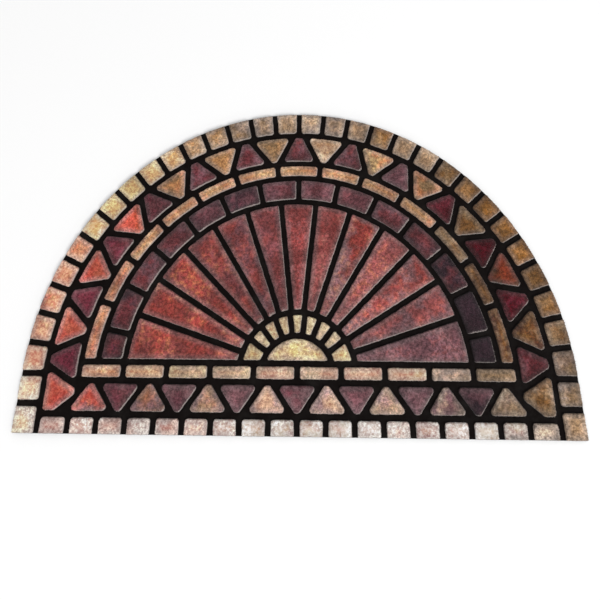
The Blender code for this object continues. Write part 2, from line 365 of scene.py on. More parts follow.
def front_triangle_rounds():
    """Triangles with blunt tips, whose slanted sides move in by a corner's radius, square to them.

    Half the width is lower + slope * height at the pad's edge, and radius * sqrt(1 + slope**2) less
    at the centres of the rounds.
    """
    number = np.arange(-FRONT_TRIANGLE_LAST, FRONT_TRIANGLE_LAST + 1)
    bottom, top = ZIGZAG_BASE + HALF_GROOVE, GOLD_BASE - HALF_GROOVE
    tip, base = FRONT_TRIANGLE_TIP / 2, FRONT_TRIANGLE_BASE / 2
    points_down = number % 2 == 0
    lower, upper = np.where(points_down, tip, base), np.where(points_down, base, tip)
    middle = number * FRONT_TRIANGLE_PITCH
    slope = (upper - lower) / (top - bottom)
    inwards = TRIANGLE_CORNER * np.sqrt(1.0 + slope**2)
    foot = lower + slope * TRIANGLE_CORNER - inwards
    head = upper - slope * TRIANGLE_CORNER - inwards
    across = (middle - foot, middle + foot, middle + head, middle - head)
    up = np.repeat([bottom + TRIANGLE_CORNER, top - TRIANGLE_CORNER], 2)
    corners = [np.stack([x, np.full_like(x, y)], -1) for x, y in zip(across, up)]
    return rounds_of(corners, TRIANGLE_CORNER, BOX_SIDES)


def side_tile_rounds():
    """The two lowest tiles of the rim on each side: lower left, lower right, upper left, upper right."""
    inner, outer = ZIGZAG_EDGE + HALF_GROOVE, RADIUS - EDGE_SETBACK
    left, right = np.array([-outer, inner, -outer, inner]), np.array([-inner, outer, -inner, outer])
    lowest, split = FRONT_EDGE + EDGE_SETBACK, CORNER_TILE_TOP
    bottom = np.array([lowest, lowest, split + HALF_GROOVE, split + HALF_GROOVE])
    top = np.array([split, split, RIM_SPRING, RIM_SPRING]) - HALF_GROOVE
    edge, wide = EDGE_CORNER, TILE_CORNER
    lower = [(edge, edge, wide, edge), (edge, edge, edge, wide)]
    upper = [(edge, wide, wide, edge), (wide, edge, edge, wide)]
    return box_rounds(left, right, bottom, top, lower + upper)


front_rows = (FRONT_EDGE + EDGE_SETBACK, ZIGZAG_BASE - HALF_GROOVE)
print(f"front squares are {(front_rows[1] - front_rows[0]) * 1000:.1f} mm deep")

# %% [markdown]
# ## The dyes
#
# The print is a warm stone palette. Each dye is named once, in the usual 0 to 255 of a paint chart,
# and made linear for Blender. The darkest ones, such as garnet, slate, umber and bronze, also stand for
# the print under painted shade on the right of the arch.

# %% Dyes
DYES = {
    "milk": (224, 217, 207),
    "chalk": (208, 190, 182),
    "cream": (221, 201, 170),
    "petal": (204, 168, 155),
    "shell": (206, 162, 136),
    "blush": (176, 142, 139),
    "peach": (218, 156, 128),
    "straw": (210, 184, 130),
    "amber": (186, 138, 92),
    "apricot": (190, 125, 85),
    "copper": (182, 103, 82),
    "sand": (189, 157, 128),
    "tan": (142, 114, 84),
    "greige": (142, 123, 112),
    "bronze": (127, 85, 42),
    "olive": (122, 86, 50),
    "umber": (86, 49, 29),
    "salmon": (196, 108, 86),
    "coral": (194, 87, 75),
    "ember": (166, 73, 46),
    "rust": (110, 46, 31),
    "brick": (151, 67, 62),
    "madder": (126, 64, 62),
    "rose": (128, 95, 98),
    "mauve": (111, 75, 81),
    "plum": (95, 47, 50),
    "wine": (113, 46, 60),
    "garnet": (68, 10, 19),
    "slate": (49, 33, 40),
}
# Undyed felt; where the print is moved off the lower right shoulders it is also a painted highlight.
UNDYED_AND_HIGHLIGHT = (188, 178, 172)
RUBBER = (14, 9, 8)
SRGB_BREAK, SRGB_SLOPE, SRGB_OFFSET, SRGB_POWER = 0.04045, 12.92, 0.055, 2.4


def linear(colour):
    """Linear light by the sRGB curve: share / 12.92 if dark, else ((share + 0.055) / 1.055) ** 2.4."""
    share = np.array(colour, float) / 255
    curved = ((share + SRGB_OFFSET) / (1 + SRGB_OFFSET)) ** SRGB_POWER
    return np.where(share <= SRGB_BREAK, share / SRGB_SLOPE, curved)


print(f"{len(DYES)} dyes, and undyed felt is {linear(UNDYED_AND_HIGHLIGHT).round(2)} in linear light")

# %% [markdown]
# The colours drift from cream and coral on the left, over gold, to olive and brown on the right. Between
# the fan and the rim, the right of the arch is also darker than the print: that is painted shade, a soft
# shadow over that part of the mat, and the darker stops of the runs carry it. Each course gets a run: a
# few stops, each with a ground dye, a dye that clouds it and a dye for its flecks, and the pads between
# two stops are dyed in between. That is shorter than a dye for each pad, and it keeps neighbours alike,
# as on the real print. On the arch a place is in degrees clockwise from straight up.

# %% Runs of the arch
Stop = namedtuple("Stop", "place ground cloud fleck")
SUN_RUN = (Stop(0, "straw", "sand", "cream"),)
SUN_RING_RUN = (
    Stop(-66, "straw", "straw", "cream"),
    Stop(-40, "straw", "sand", "cream"),
    Stop(0, "straw", "straw", "cream"),
    Stop(35, "straw", "sand", "sand"),
    Stop(66, "cream", "straw", "cream"),
)
RAY_RUN = (
    Stop(-80, "brick", "madder", "apricot"),
    Stop(-50, "brick", "madder", "apricot"),
    Stop(-20, "madder", "mauve", "brick"),
    Stop(5, "madder", "brick", "rose"),
    Stop(28, "brick", "rose", "apricot"),
    Stop(55, "rose", "brick", "salmon"),
    Stop(80, "mauve", "rose", "madder"),
)
PLUM_RUN = (
    Stop(-80, "plum", "slate", "wine"),
    Stop(-48, "plum", "mauve", "brick"),
    Stop(-25, "mauve", "slate", "wine"),
    Stop(0, "plum", "mauve", "rose"),
    Stop(35, "mauve", "plum", "brick"),
    # From here on the plum bricks are darker: painted shade over the right of the arch.
    Stop(57, "slate", "plum", "mauve"),
    Stop(72, "slate", "slate", "slate"),
)
DARK_TRIANGLE_RUN = (
    Stop(-90, "wine", "wine", "plum"),
    Stop(-50, "wine", "plum", "mauve"),
    Stop(-30, "plum", "mauve", "wine"),
    Stop(12, "plum", "mauve", "brick"),
    Stop(30, "mauve", "plum", "rose"),
    # Garnet here is the plum print darkened by painted shade over the right of the arch.
    Stop(45, "garnet", "garnet", "wine"),
    Stop(75, "garnet", "garnet", "wine"),
    Stop(90, "plum", "garnet", "mauve"),
)
GOLD_RUN = (
    Stop(-62, "copper", "apricot", "sand"),
    Stop(-50, "apricot", "amber", "straw"),
    Stop(42, "apricot", "amber", "sand"),
    # Bronze and umber here are the gold print darkened by painted shade over the right of the arch.
    Stop(53, "bronze", "tan", "amber"),
    Stop(68, "bronze", "umber", "tan"),
)
TRIANGLE_RUN = (
    Stop(-95, "coral", "salmon", "blush"),
    Stop(-65, "coral", "salmon", "ember"),
    Stop(-50, "ember", "coral", "salmon"),
    Stop(-35, "tan", "amber", "salmon"),
    Stop(-7, "tan", "amber", "sand"),
    Stop(7, "sand", "amber", "cream"),
    Stop(22, "apricot", "tan", "straw"),
    Stop(36, "apricot", "tan", "amber"),
    # From here on the triangles drift to brown, and olive, rust and umber make them darker still with
    # painted shade.
    Stop(50, "olive", "tan", "umber"),
    Stop(66, "rust", "umber", "rust"),
    Stop(80, "olive", "umber", "tan"),
    Stop(95, "tan", "olive", "sand"),
)
RIM_RUN = (
    Stop(-100, "cream", "chalk", "shell"),
    Stop(-88, "shell", "cream", "cream"),
    Stop(-78, "peach", "copper", "straw"),
    Stop(-64, "peach", "copper", "amber"),
    Stop(-57, "cream", "straw", "peach"),
    Stop(-50, "straw", "straw", "amber"),
    Stop(-42, "straw", "straw", "cream"),
    Stop(-31, "sand", "amber", "cream"),
    Stop(-12, "greige", "tan", "sand"),
    Stop(8, "greige", "sand", "cream"),
    Stop(21, "tan", "olive", "amber"),
    Stop(30, "sand", "sand", "cream"),
    Stop(39, "tan", "olive", "amber"),
    # Bronze and olive here are the rim's print darkened by painted shade over the right of the arch.
    Stop(50, "bronze", "olive", "tan"),
    Stop(63, "bronze", "olive", "amber"),
    Stop(80, "tan", "olive", "tan"),
    Stop(92, "tan", "greige", "chalk"),
    Stop(99, "sand", "tan", "sand"),
)
print(f"the rim's run has {len(RIM_RUN)} stops")

# %% [markdown]
# On the straight side a place is a share of half the length, from -1 on the left to 1 on the right.

# %% Runs of the straight side
FRONT_BRICK_RUN = (
    Stop(-0.8, "apricot", "shell", "straw"),
    Stop(-0.4, "sand", "straw", "shell"),
    Stop(-0.1, "shell", "sand", "cream"),
    Stop(0.25, "shell", "sand", "cream"),
    Stop(0.45, "shell", "cream", "cream"),
    Stop(0.6, "greige", "sand", "shell"),
    Stop(0.78, "tan", "tan", "sand"),
)
FRONT_TRIANGLE_RUN = (
    Stop(-0.8, "coral", "rose", "apricot"),
    Stop(-0.5, "tan", "rose", "salmon"),
    Stop(-0.1, "shell", "blush", "sand"),
    Stop(0.3, "sand", "blush", "shell"),
    Stop(0.53, "greige", "mauve", "sand"),
    Stop(0.9, "tan", "greige", "cream"),
)
FRONT_PLUM_RUN = (
    Stop(-0.8, "wine", "plum", "mauve"),
    Stop(-0.3, "mauve", "rose", "wine"),
    Stop(0.0, "rose", "wine", "mauve"),
    Stop(0.4, "mauve", "rose", "mauve"),
    Stop(0.65, "slate", "mauve", "mauve"),
)
SQUARE_RUN = (
    Stop(-1.0, "petal", "petal", "chalk"),
    Stop(-0.75, "petal", "chalk", "milk"),
    Stop(-0.4, "petal", "chalk", "shell"),
    Stop(-0.1, "milk", "chalk", "cream"),
    Stop(0.2, "milk", "chalk", "chalk"),
    Stop(0.38, "petal", "chalk", "milk"),
    Stop(0.5, "chalk", "chalk", "petal"),
    Stop(0.75, "milk", "chalk", "petal"),
    Stop(1.0, "sand", "greige", "cream"),
)
print(f"the squares' run has {len(SQUARE_RUN)} stops")

# %% [markdown]
# ## From cores to shells
#
# A moulded pad leaves the rubber with a small hollow at its foot, leans in for the mould to let go,
# rolls over a soft shoulder and is slightly crowned. That is one profile, carried round the core.
# The first ring is below the floor of the groove, so the pad grows out of the base without a gap.
# The last rings draw the core in towards its middle, and a single point closes the crown. The print
# ends a little inside each pad, so a thin edge of undyed felt shows all round. It is also moved about a
# millimetre up and to the left, so the shoulders on the lower right, which face the lamp, show pale
# felt: a painted highlight.

# %% Profile of a pad, in metres
Row = namedtuple("Row", "out height share")
PROFILE = (
    Row(CORE_INSET + 0.0002, -0.0004, 1.0),
    Row(CORE_INSET + 0.0002, 0.0000, 1.0),
    Row(CORE_INSET - 0.0001, 0.0002, 1.0),
    Row(CORE_INSET - 0.0003, 0.0006, 1.0),
    Row(CORE_INSET - 0.0007, 0.0017, 1.0),
    Row(CORE_INSET - 0.0010, 0.0026, 1.0),
    Row(CORE_INSET - 0.0013, 0.0031, 1.0),
    Row(0.0000, 0.00340, 1.0),
    Row(0.0000, 0.00350, 0.97),
    Row(0.0000, 0.00354, 0.88),
    Row(0.0000, 0.00357, 0.72),
    Row(0.0000, 0.00360, 0.50),
    Row(0.0000, 0.00361, 0.25),
)
SHOULDER_ROW = 5
CROWN_HEIGHT = 0.00362
WAVE_SEED = 11
WAVES = 14
WAVE_LENGTHS = (0.006, 0.022)
EDGE_WAVE = 0.00016
CROWN_WAVE = 0.00007
CROWN_RUN = 0.01
PRINT_INSET = 0.0005
# Moving the print up and to the left paints a highlight of pale felt on the lower right shoulders.
HIGHLIGHT_SHIFT = (-0.0009, 0.0009)


def ripple(points, seed):
    """A smooth uneven field of about unit size: the sum of WAVES sines with set random directions."""
    draw = np.random.default_rng(seed)
    length = draw.uniform(*WAVE_LENGTHS, WAVES)
    way = heading(draw.uniform(0.0, 360.0, WAVES)) * (2 * math.pi / length)[:, None]
    phase = draw.uniform(0.0, 2 * math.pi, WAVES)
    return np.sin(points @ way.T + phase).sum(-1) / math.sqrt(WAVES / 2)


def rings_of(core, normal, profile):
    """Rings of many shells: middle + share * (core - middle) + out * normal, at the row's height.

    Returns places as (pads, rows, points, 3), the same rings rolled out flat for a bake, where out is
    replaced by the length of the profile from the core, and the middles.
    """
    out, height, share = (np.array(column) for column in zip(*profile))
    middle = (core.min(1, keepdims=True) + core.max(1, keepdims=True)) / 2
    drawn_in = middle[:, None] + share[:, None, None] * (core - middle)[:, None]
    uneven = EDGE_WAVE * ripple(core + CORE_INSET * normal, WAVE_SEED)[:, None, :, None]
    reach = out[:, None, None] + (out > 0)[:, None, None] * uneven
    flat = drawn_in + reach * normal[:, None]
    rise = np.broadcast_to((GROOVE_FLOOR + height)[:, None], flat.shape[:-1])
    rise = rise + (height > PAD_HEIGHT)[:, None] * CROWN_WAVE * ripple(flat, WAVE_SEED + 1)
    steps = np.hypot(np.diff(out), np.diff(height) * (share[1:] == 1.0))
    rolled = np.concatenate([np.cumsum(steps[::-1])[::-1], [0.0]])
    rolled -= rolled[np.argmax(out == 0)]
    spread = drawn_in + np.maximum(rolled, 0.0)[:, None, None] * normal[:, None]
    return np.concatenate([flat, rise[..., None]], -1), spread, middle[:, 0]


def into_pale_felt(normal, profile):
    """How far each point of a ring is past the edge of the print, in metres; less than 0 is printed.

    The print ends PRINT_INSET inside the pad's outline, which leaves a thin edge of undyed felt all
    round, and it is moved up and to the left, which leaves a painted highlight of pale felt on the lower
    right shoulders. So the edge is at PRINT_INSET minus the normal's share of that move, and a point's
    own
    inset is taken from that: CORE_INSET - out, and on the crown (1 - share) * CROWN_RUN more.
    """
    out, _, share = (np.array(column) for column in zip(*profile))
    edge = PRINT_INSET - normal @ np.array(HIGHLIGHT_SHIFT)
    inset = CORE_INSET - out + (1.0 - share) * CROWN_RUN
    return edge[:, None] - inset[:, None]


print(f"{len(PROFILE)} rings a pad")

# %% [markdown]
# A shell is a grid of rings and stations, closed by a point at the top and one underneath. The
# faces are index arithmetic on that grid. `Surface` keeps the arrays of one piece together, with what
# the material wants to know at every point: the three dyes, how far it is in from the shoulder, how
# far down the flank, and how far past the edge of the print, which is moved so that the lower right
# shoulders get a painted highlight of pale felt.

# %% Shells of a course
Surface = namedtuple("Surface", "points faces flat_places under dye cloud fleck heart flank past")


def grid_faces(pads, rows, stations):
    """Quads between neighbouring rings and fans to the two poles, as arrays of point numbers.

    A quad with its last two corners alike is a triangle. Seen from outside all go anticlockwise.
    """
    first = np.arange(pads)[:, None, None] * (rows * stations + 2)
    ring = np.arange(rows)[:, None] * stations
    here = np.arange(stations)
    following = (here + 1) % stations
    a, b = first + ring + here, first + ring + following
    walls = np.stack([a[:, :-1], b[:, :-1], b[:, 1:], a[:, 1:]], -1).reshape(-1, 4)
    top = np.broadcast_to(first + rows * stations, a[:, -1:].shape)
    crown = np.stack([a[:, -1:], b[:, -1:], top, top], -1).reshape(-1, 4)
    sole = np.stack([b[:, :1], a[:, :1], top + 1, top + 1], -1).reshape(-1, 4)
    return walls, crown, sole


def dyed(run, places):
    """The three dyes at each place, by straight interpolation between the run's stops."""
    marks, *columns = zip(*run)
    tables = [np.array([linear(DYES[dye]) for dye in column]) for column in columns]
    return [np.stack([np.interp(places, marks, light) for light in table.T], -1) for table in tables]


def shells(rounds, dyes):
    """The surfaces of one course of pads, from their corner rounds and three dyes a pad."""
    core, normal = core_path(rounds)
    rings, spread, middle = rings_of(core, normal, PROFILE)
    pads, rows, stations = rings.shape[:3]
    poles = np.empty((pads, 2, 3))
    poles[:, :, :2] = middle[:, None]
    poles[:, :, 2] = GROOVE_FLOOR + np.array([CROWN_HEIGHT, PROFILE[0].height])
    points = np.concatenate([rings.reshape(pads, -1, 3), poles], 1)
    flat = np.concatenate([spread.reshape(pads, -1, 2), poles[:, :, :2]], 1)
    shoulder = rings[:, SHOULDER_ROW, :, :2]
    heart = np.linalg.norm(points[:, :, None, :2] - shoulder[:, None], axis=-1).min(-1)
    heart[:, : SHOULDER_ROW * stations] = 0.0
    heart[:, -1] = 0.0
    past = np.full(points.shape[:2], -CROWN_RUN)
    past[:, :-2] = into_pale_felt(normal, PROFILE).reshape(pads, -1)
    walls, crown, sole = grid_faces(pads, rows, stations)
    size = points.shape[1]
    return Surface(
        points.reshape(-1, 3),
        np.concatenate([walls, crown, sole]),
        flat.reshape(-1, 2),
        np.repeat([False, True], [len(walls) + len(crown), len(sole)]),
        *(np.repeat(dye, size, 0) for dye in dyes),
        heart.ravel(),
        np.clip((THICKNESS - points[..., 2]) / PAD_HEIGHT, 0.0, 1.0).ravel(),
        past.ravel(),
    )


def joined(surfaces):
    """One surface from several, with the point numbers of each moved past those before it."""
    counts = np.cumsum([0] + [len(part.points) for part in surfaces])
    faces = np.concatenate([part.faces + start for part, start in zip(surfaces, counts)])
    columns = [np.concatenate(column) for column in zip(*(part[2:] for part in surfaces))]
    return Surface(np.concatenate([part.points for part in surfaces]), faces, *columns)


print("a surface holds " + ", ".join(Surface._fields))

# %% [markdown]
# ## Short fibres
#
# The felt on the pads is too short to comb and too dense to count. Hair curves would be heavy and
# would not survive as a mesh, so each little bunch of fibres is one closed spike of four triangles,
# leaning at random. Roots are spread evenly by area over the tops and shoulders, and a spike takes
# the dyes of the place where it stands.

# %% Bunches of fibres
FIBRE_SPACING = 0.00135
FIBRE_ROOT = 0.00050
FIBRE_LENGTHS = (0.0006, 0.0011)
FIBRE_LEAN = 0.9
FIBRE_SINK = 0.00015
FELT_ENDS_AT = 0.62


def triangles_of(faces):
    """Two triangles for each quad, without those that have no width."""
    both = np.concatenate([faces[:, [0, 1, 2]], faces[:, [0, 2, 3]]])
    return both[(both[:, 1] != both[:, 2]) & (both[:, 0] != both[:, 2])]


def fibres(surface, seed):
    """Closed spikes on a surface: three root points round a place, and a tip along the leaning normal.

    The feet are root - FIBRE_SINK * up + FIBRE_ROOT * (cos, sin) of three even angles, and the tip is
    root + length * lean, where lean is up + FIBRE_LEAN / 2 * random, made a unit long.
    """
    draw = np.random.default_rng(seed)
    triangle = triangles_of(surface.faces[~surface.under])
    triangle = triangle[surface.flank[triangle].mean(1) < FELT_ENDS_AT]
    a, b, c = surface.points[triangle].transpose(1, 0, 2)
    square = np.cross(b - a, c - a)
    area = np.linalg.norm(square, axis=1) / 2
    count = int(area.sum() / FIBRE_SPACING**2)
    spot = (np.arange(count) + draw.random(count)) / count
    chosen = np.searchsorted(np.cumsum(area) / area.sum(), spot).clip(0, len(area) - 1)
    long_way, short_way = np.sqrt(draw.random(count)), draw.random(count)
    weight = np.stack([1 - long_way, long_way * (1 - short_way), long_way * short_way], -1)
    corner = triangle[chosen]

    def here(values):
        return (values[corner] * weight.reshape(weight.shape + (1,) * (values.ndim - 1))).sum(1)

    root = here(surface.points)
    up = square[chosen] / (2 * area[chosen])[:, None]
    across = np.cross(up, draw.normal(size=(count, 3)))
    across /= np.linalg.norm(across, axis=1, keepdims=True)
    over = np.cross(up, across)
    turn = (2 * math.pi / 3 * np.arange(3))[None, :, None]
    foot = FIBRE_ROOT * (np.cos(turn) * across[:, None] + np.sin(turn) * over[:, None])
    lean = draw.normal(size=(count, 3)) * (FIBRE_LEAN / 2) + up
    lean /= np.linalg.norm(lean, axis=1, keepdims=True)
    tip = root + lean * draw.uniform(*FIBRE_LENGTHS, count)[:, None]
    ring = (root - FIBRE_SINK * up)[:, None] + foot
    points = np.concatenate([ring, tip[:, None]], 1)
    flat_root = here(surface.flat_places)[:, None]
    flat = np.concatenate([flat_root + foot[..., :2], flat_root], 1)
    first = 4 * np.arange(count)[:, None]
    walls = [first + np.array(order) for order in ((0, 1, 3, 3), (1, 2, 3, 3), (2, 0, 3, 3))]
    sole = first + np.array((2, 1, 0, 0))
    values = [np.repeat(here(column), 4, 0) for column in surface[4:]]
    faces = np.concatenate([*walls, sole])
    under = np.repeat([False, True], [3 * count, count])
    spikes = Surface(points.reshape(-1, 3), faces, flat.reshape(-1, 2), under, *values)
    return spikes, np.repeat(draw.random(count), 4)


print(f"a bunch of fibres every {FIBRE_SPACING * 1000:.2f} mm")

# %% [markdown]
# ## Into Blender
#
# A mesh wants flat lists of corners. Quads whose last two corners are alike are written as
# triangles. The flat map goes in as a UV map for the bake: it is the plan of the mat with the flanks
# rolled out, so it has no overlaps, and the hidden undersides are parked in a corner of it.

# %% Arrays to a mesh object
BAKE_MAP = "OFBake"
PARKING = 0.02
PARKED_SIZE = 0.01
EVEN_FIBRE = 0.5
pieces = {}


def plan_map(surface, corners, face_of_corner):
    """The flat places scaled to fill the square above PARKING, with undersides shrunk into a corner."""
    places = surface.flat_places
    start, span = places.min(0), np.ptp(places, axis=0)
    unit = ((places - start) / span)[corners]
    parked = surface.under[face_of_corner][:, None]
    return np.where(parked, PARKED_SIZE * unit, PARKING + (1 - PARKING) * unit)


def add_piece(name, surface, material, fibre=None):
    """A mesh object from a surface, moved from the courses' centre to the row frame."""
    place = surface.points + (0.0, CENTRE_Y, 0.0)
    pointed = surface.faces[:, 2] == surface.faces[:, 3]
    sizes = np.where(pointed, 3, 4)
    keep = np.ones((len(sizes), 4), bool)
    keep[:, 3] = ~pointed
    corners = surface.faces[keep]
    mesh = bpy.data.meshes.new(name)
    mesh.vertices.add(len(place))
    mesh.vertices.foreach_set("co", place.astype(np.float32).ravel())
    mesh.loops.add(len(corners))
    mesh.loops.foreach_set("vertex_index", corners.astype(np.int32))
    mesh.polygons.add(len(sizes))
    mesh.polygons.foreach_set("loop_start", (np.cumsum(sizes) - sizes).astype(np.int32))
    mesh.polygons.foreach_set("use_smooth", np.ones(len(sizes), bool))
    mesh.update(calc_edges=True)
    chart = plan_map(surface, corners, np.repeat(np.arange(len(sizes)), sizes))
    mesh.uv_layers.new(name=BAKE_MAP).uv.foreach_set("vector", chart.astype(np.float32).ravel())
    full = np.ones((len(place), 1))
    for label in ("dye", "cloud", "fleck"):
        colour = np.concatenate([getattr(surface, label), full], 1)
        layer = mesh.attributes.new(label, "FLOAT_COLOR", "POINT")
        layer.data.foreach_set("color", colour.astype(np.float32).ravel())
    values = {"heart": surface.heart, "flank": surface.flank, "past": surface.past}
    values["fibre"] = np.full(len(place), EVEN_FIBRE) if fibre is None else fibre
    for label, value in values.items():
        mesh.attributes.new(label, "FLOAT", "POINT").data.foreach_set("value", value.astype(np.float32))
    mesh.materials.append(material)
    mesh.validate()
    piece = bpy.data.objects.new(name, mesh)
    bpy.context.scene.collection.objects.link(piece)
    pieces[name] = piece
    print(f"{name}: {int((sizes - 2).sum())} triangles")
    return piece


# %% [markdown]
# ## Materials
#
# Felt is matt, with a faint sheen where fibres stand against the light. The print is marbled: soft
# clouds about a finger wide mix a pad's first two dyes, and flecks of the third lie over them. A
# picture laid on the pads would blur from near by, while noise on the mat's own coordinates stays
# sharp. A pattern here is noise of some size to the metre, and a ramp that says which of its values
# are made low and high.

# %% Node helpers
Noise = namedtuple("Noise", "per_metre detail roughness")
Ramp = namedtuple("Ramp", "start end low high", defaults=(0.0, 1.0))
Relief = namedtuple("Relief", "noise strength depth")


def new_material(name):
    """An empty node material with its Principled shader."""
    material = bpy.data.materials.new(name)
    material.use_nodes = True
    return material, material.node_tree, material.node_tree.nodes["Principled BSDF"]


def plug(tree, node, values):
    """A node's inputs by name or number: a number is set, and a socket is linked."""
    for key, value in dict(values).items():
        socket = node.inputs[key]
        if isinstance(value, bpy.types.NodeSocket):
            tree.links.new(value, socket)
        else:
            socket.default_value = value


def add(tree, kind, values=(), **settings):
    """A new node with its inputs and its settings."""
    node = tree.nodes.new(kind)
    for key, value in settings.items():
        setattr(node, key, value)
    plug(tree, node, values)
    return node


def attribute(tree, name, output="Fac"):
    """A value that the mesh holds at its points."""
    return add(tree, "ShaderNodeAttribute", attribute_name=name).outputs[output]


def noise(tree, place, kind):
    """Blender's noise at a place in metres."""
    values = {"Vector": place, "Scale": kind.per_metre}
    values |= {"Detail": kind.detail, "Roughness": kind.roughness}
    return add(tree, "ShaderNodeTexNoise", values).outputs[0]


def ranged(tree, value, ramp):
    """value from ramp.start to ramp.end, made ramp.low to ramp.high in a smooth step."""
    values = {"Value": value, "From Min": ramp.start, "From Max": ramp.end}
    values |= {"To Min": ramp.low, "To Max": ramp.high}
    return add(tree, "ShaderNodeMapRange", values, interpolation_type="SMOOTHSTEP").outputs[0]


def pattern(tree, place, kind, ramp):
    """Noise at a place, through a ramp."""
    return ranged(tree, noise(tree, place, kind), ramp)


def relief(tree, place, kind):
    """Noise as a normal: the surface is raised by strength * depth * noise."""
    values = {"Strength": kind.strength, "Distance": kind.depth, "Height": noise(tree, place, kind.noise)}
    return add(tree, "ShaderNodeBump", values).outputs[0]


def math_node(tree, operation, a, b):
    """One sum, product or the like."""
    return add(tree, "ShaderNodeMath", {0: a, 1: b}, operation=operation).outputs[0]


def grey_of(tree, *factors):
    """A grey from factors multiplied together, to lay over a colour."""
    grey = factors[0]
    for factor in factors[1:]:
        grey = math_node(tree, "MULTIPLY", grey, factor)
    return add(tree, "ShaderNodeCombineColor", {0: grey, 1: grey, 2: grey}).outputs[0]


def blended(tree, factor, a, b, blend_type="MIX"):
    """Colour a with colour b laid over it by factor."""
    values = {0: factor, 6: a, 7: b}
    return add(tree, "ShaderNodeMix", values, data_type="RGBA", blend_type=blend_type).outputs[2]


def opaque(colour):
    """A linear colour with full opacity, from paint-chart numbers."""
    return (*(float(value) for value in linear(colour)), 1.0)


print("a colour for a node:", ", ".join(f"{value:.3f}" for value in opaque(UNDYED_AND_HIGHLIGHT)))

# %% [markdown]
# Dye sinks in better at the heart of a pad, so the colour is fuller there. Broad patches, specks and
# grains are one grey, laid over the dyes with Overlay: that darkens and lightens the middle tones
# most and leaves the pale dyes calm, as on the real print. Past the edge of the print the felt is
# pale: a thin edge of undyed felt all round, and a painted highlight on the lower right shoulders,
# where the print is moved away. At the foot of the flank the felt ends and the rubber is bare.

# %% Printed felt
CLOUDS = Noise(48.0, 3.0, 0.5), Ramp(0.37, 0.63)
PATCHES = Noise(28.0, 2.0, 0.5), Ramp(0.40, 0.62)
FLECKS = Noise(130.0, 2.0, 0.6), Ramp(0.42, 0.68)
SPECKS = Noise(300.0, 2.0, 0.7), Ramp(0.32, 0.68, 0.56, 1.44)
GRAINS = Noise(900.0, 1.0, 0.5), Ramp(0.30, 0.70, 0.81, 1.19)
RAGGED = Noise(800.0, 2.0, 0.6), Ramp(0.30, 0.70, -0.0005, 0.0005)
PATCH_TONES = Ramp(0.0, 1.0, 0.78, 1.22)
FLECK_SHARES = Ramp(0.0, 1.0, 0.10, 0.45)
BUNCH_TONES = Ramp(0.0, 1.0, 0.84, 1.16)
HEART_DEPTHS = Ramp(0.0, 0.0105)
HEART_STRENGTH = Ramp(0.0, 1.0, 0.78, 1.03)
HEART_TONES = Ramp(0.0, 1.0, 0.90, 1.07)
UNDYED_AND_HIGHLIGHT_SHARES = Ramp(-0.0004, 0.0006, 0.0, 0.68)
FELT_END = Ramp(0.50, 0.75)
OVERLAY_NEUTRAL = 0.5
FELT_FINISH = {
    "Roughness": 0.93,
    "Specular IOR Level": 0.2,
    "Sheen Weight": 0.12,
    "Sheen Roughness": 0.5,
}
FELT_RELIEF = Relief(Noise(1500.0, 3.0, 0.7), 0.5, 0.0004)


def marbled(tree, place, patches):
    """The first dye, clouded with the second, with flecks of the third, all fuller at the heart."""
    dye, cloud, fleck = (attribute(tree, name, "Color") for name in ("dye", "cloud", "fleck"))
    colour = blended(tree, pattern(tree, place, *CLOUDS), dye, cloud)
    share = ranged(tree, patches, FLECK_SHARES)
    flecks = math_node(tree, "MULTIPLY", pattern(tree, place, *FLECKS), share)
    colour = blended(tree, flecks, colour, fleck)
    heart = ranged(tree, attribute(tree, "heart"), HEART_DEPTHS)
    strength, tone = ranged(tree, heart, HEART_STRENGTH), ranged(tree, heart, HEART_TONES)
    values = {"Color": colour, "Saturation": strength, "Value": tone}
    return add(tree, "ShaderNodeHueSaturation", values).outputs["Color"]


def felt_material():
    """The marbled print under its grey, then the pale edge, undyed all round and a painted highlight on
    the lower right, then the bare foot.
    """
    material, tree, shader = new_material("printed_felt")
    place = add(tree, "ShaderNodeTexCoord").outputs["Object"]
    patches, specks, grains = (pattern(tree, place, *kind) for kind in (PATCHES, SPECKS, GRAINS))
    bunch = ranged(tree, attribute(tree, "fibre"), BUNCH_TONES)
    grey = grey_of(tree, ranged(tree, patches, PATCH_TONES), specks, grains, bunch, OVERLAY_NEUTRAL)
    colour = blended(tree, 1.0, marbled(tree, place, patches), grey, "OVERLAY")
    past = math_node(tree, "ADD", attribute(tree, "past"), pattern(tree, place, *RAGGED))
    # Pale felt past the print: undyed all round, and a painted highlight on the lower right shoulders.
    pale = blended(tree, 1.0, opaque(UNDYED_AND_HIGHLIGHT), grey_of(tree, grains, bunch), "MULTIPLY")
    colour = blended(tree, ranged(tree, past, UNDYED_AND_HIGHLIGHT_SHARES), colour, pale)
    bare = ranged(tree, attribute(tree, "flank"), FELT_END)
    colour = blended(tree, bare, colour, opaque(RUBBER))
    plug(tree, shader, {"Base Color": colour, "Normal": relief(tree, place, FELT_RELIEF)})
    plug(tree, shader, FELT_FINISH)
    return material


felt = felt_material()
print(f"{felt.name}: {len(felt.node_tree.nodes)} nodes")

# %% [markdown]
# Moulded crumb rubber is nearly black, and a little stray dye in the grooves warms it. It is matt, but
# the mould leaves it smoother in places, and loose fibre dust greys it slightly.

# %% Bare rubber
DUST = (92, 90, 86)
DUST_VEIL = Noise(45.0, 4.0, 0.6), Ramp(0.45, 0.75, 0.0, 0.05)
RUBBER_ROUGHNESS = Noise(120.0, 3.0, 0.6), Ramp(0.30, 0.70, 0.58, 0.82)
RUBBER_SPECULAR = 0.06
RUBBER_RELIEF = Relief(Noise(900.0, 4.0, 0.65), 0.45, 0.0005)


